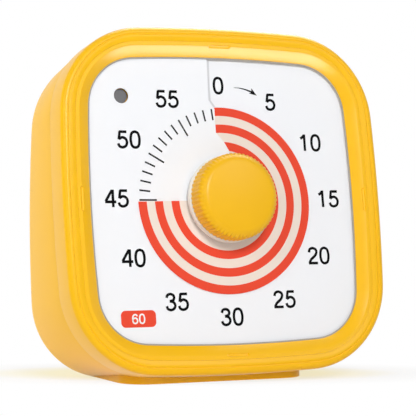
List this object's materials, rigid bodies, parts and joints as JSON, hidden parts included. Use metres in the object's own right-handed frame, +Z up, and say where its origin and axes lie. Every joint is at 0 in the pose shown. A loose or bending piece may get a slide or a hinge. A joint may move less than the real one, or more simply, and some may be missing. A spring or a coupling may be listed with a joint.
{
  "type": "visual countdown timer",
  "caption": "Small desk visual countdown timer: a leaning rounded square yellow housing, a white minute dial with a striped disc that winds through a slit, and a ribbed knob.",
  "frame": {"origin": "on the desk, at the middle of the housing's width and about the middle of its depth, on the plane of the foot", "axes": "+Z up, -Y towards the side that the dial faces, +X to the right of someone who reads the dial"},
  "size_m": [0.0848, 0.0424, 0.0864],
  "materials": {
    "yellow_shell": "satin moulded yellow",
    "yellow_knob": "satin moulded yellow",
    "dial_card": "smooth white card",
    "smoked_lens": "smoked grey",
    "lamp": "clear grey",
    "circuit_board": "green laminate",
    "black_plastic": "matt black",
    "steel": "plain steel",
    "white_plastic": "natural white",
    "copper": "copper wire",
    "cell_wrap": "plain printed sleeve",
    "collar": "pale translucent",
    "brass": "plain brass",
    "disc_red": "matt red film"
  },
  "bodies": {
    "housing": {"front_shell": "yellow_shell", "rear_shell": "yellow_shell", "bezel_ring": "yellow_shell", "dial_card": "dial_card", "indicator_lens": "smoked_lens", "indicator_led": "lamp", "circuit_board": "circuit_board", "buzzer": "black_plastic", "switch_case": "steel", "movement_case": "white_plastic", "movement_cover": "white_plastic", "drive_coil": "copper", "cell": "cell_wrap", "contact_plate": "steel", "contact_leaf": "steel", "case_screws": "steel"},
    "knob_set": {"knob": "yellow_knob", "knob_collar": "collar", "drive_shaft": "steel", "clutch_washer": "brass"},
    "disc_set": {"time_disc": "disc_red", "disc_hub": "white_plastic"},
    "wheel_set": {"drive_wheel": "brass"},
    "pinion_set": {"drive_pinion": "brass"},
    "door": {"battery_door": "yellow_shell"},
    "slider": {"sound_slider": "black_plastic"}
  },
  "joints": [
    {"name": "knob_turn", "type": "hinge", "parent": "housing", "child": "knob_set", "pos_m": [0, -0.01199, 0.0444], "axis": [0, 0.9894, -0.1452], "range_deg": [-270, 90]},
    {"name": "disc_climb", "type": "slide", "parent": "knob_set", "child": "disc_set", "axis": [0, -0.9894, 0.1452], "range_m": [-0.00045, 0.00015]},
    {"name": "wheel_turn", "type": "hinge", "parent": "housing", "child": "wheel_set", "pos_m": [0, -0.01199, 0.0444], "axis": [0, 0.9894, -0.1452], "continuous": true},
    {"name": "pinion_turn", "type": "hinge", "parent": "housing", "child": "pinion_set", "pos_m": [0.012, -0.01199, 0.0444], "axis": [0, 0.9894, -0.1452], "continuous": true},
    {"name": "door_off", "type": "slide", "parent": "housing", "child": "door", "axis": [0, 1, 0], "range_m": [0, 0.03]},
    {"name": "sound_slide", "type": "slide", "parent": "housing", "child": "slider", "axis": [1, 0, 0], "range_m": [0, 0.004]}
  ],
  "couplings": [
    {"joint": "knob_turn", "follows": "disc_climb", "rad_per_m": 10472},
    {"joint": "pinion_turn", "follows": "wheel_turn", "ratio": -4}
  ]
}
